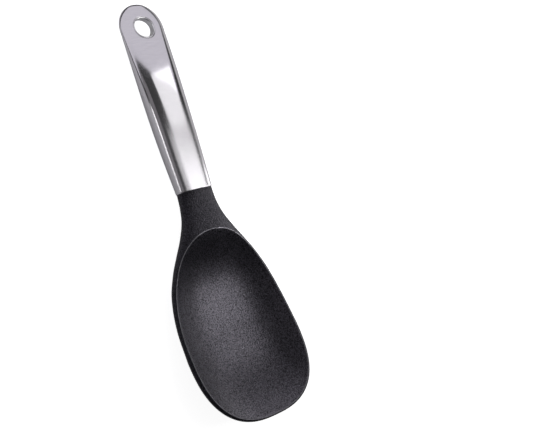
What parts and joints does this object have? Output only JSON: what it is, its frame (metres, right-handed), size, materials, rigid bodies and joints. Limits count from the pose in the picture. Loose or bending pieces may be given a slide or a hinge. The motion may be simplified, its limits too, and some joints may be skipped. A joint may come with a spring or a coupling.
{
  "type": "rice paddle",
  "caption": "Serving paddle with a wide, shallow scooped bowl, a short neck and a hollow, softly rounded metal handle that flattens towards a round hanging hole.",
  "frame": {"origin": "on the ground that the bowl rests on, under the middle of the paddle's length and width", "axes": "+X from the handle's tail to the bowl's tip, +Y across the paddle, +Z the way the bowl opens"},
  "size_m": [0.2348, 0.072, 0.0233],
  "materials": {
    "handle_steel": "polished at the tail, satin towards the mouth",
    "sleeve_steel": "polished",
    "head_nylon": "fine matt texture",
    "adhesive": "set adhesive"
  },
  "bodies": {
    "root": {"handle_upper_shell": "handle_steel", "handle_lower_shell": "handle_steel", "hanging_hole_sleeve": "sleeve_steel", "paddle_head": "head_nylon", "tang_adhesive": "adhesive"}
  },
  "joints": []
}
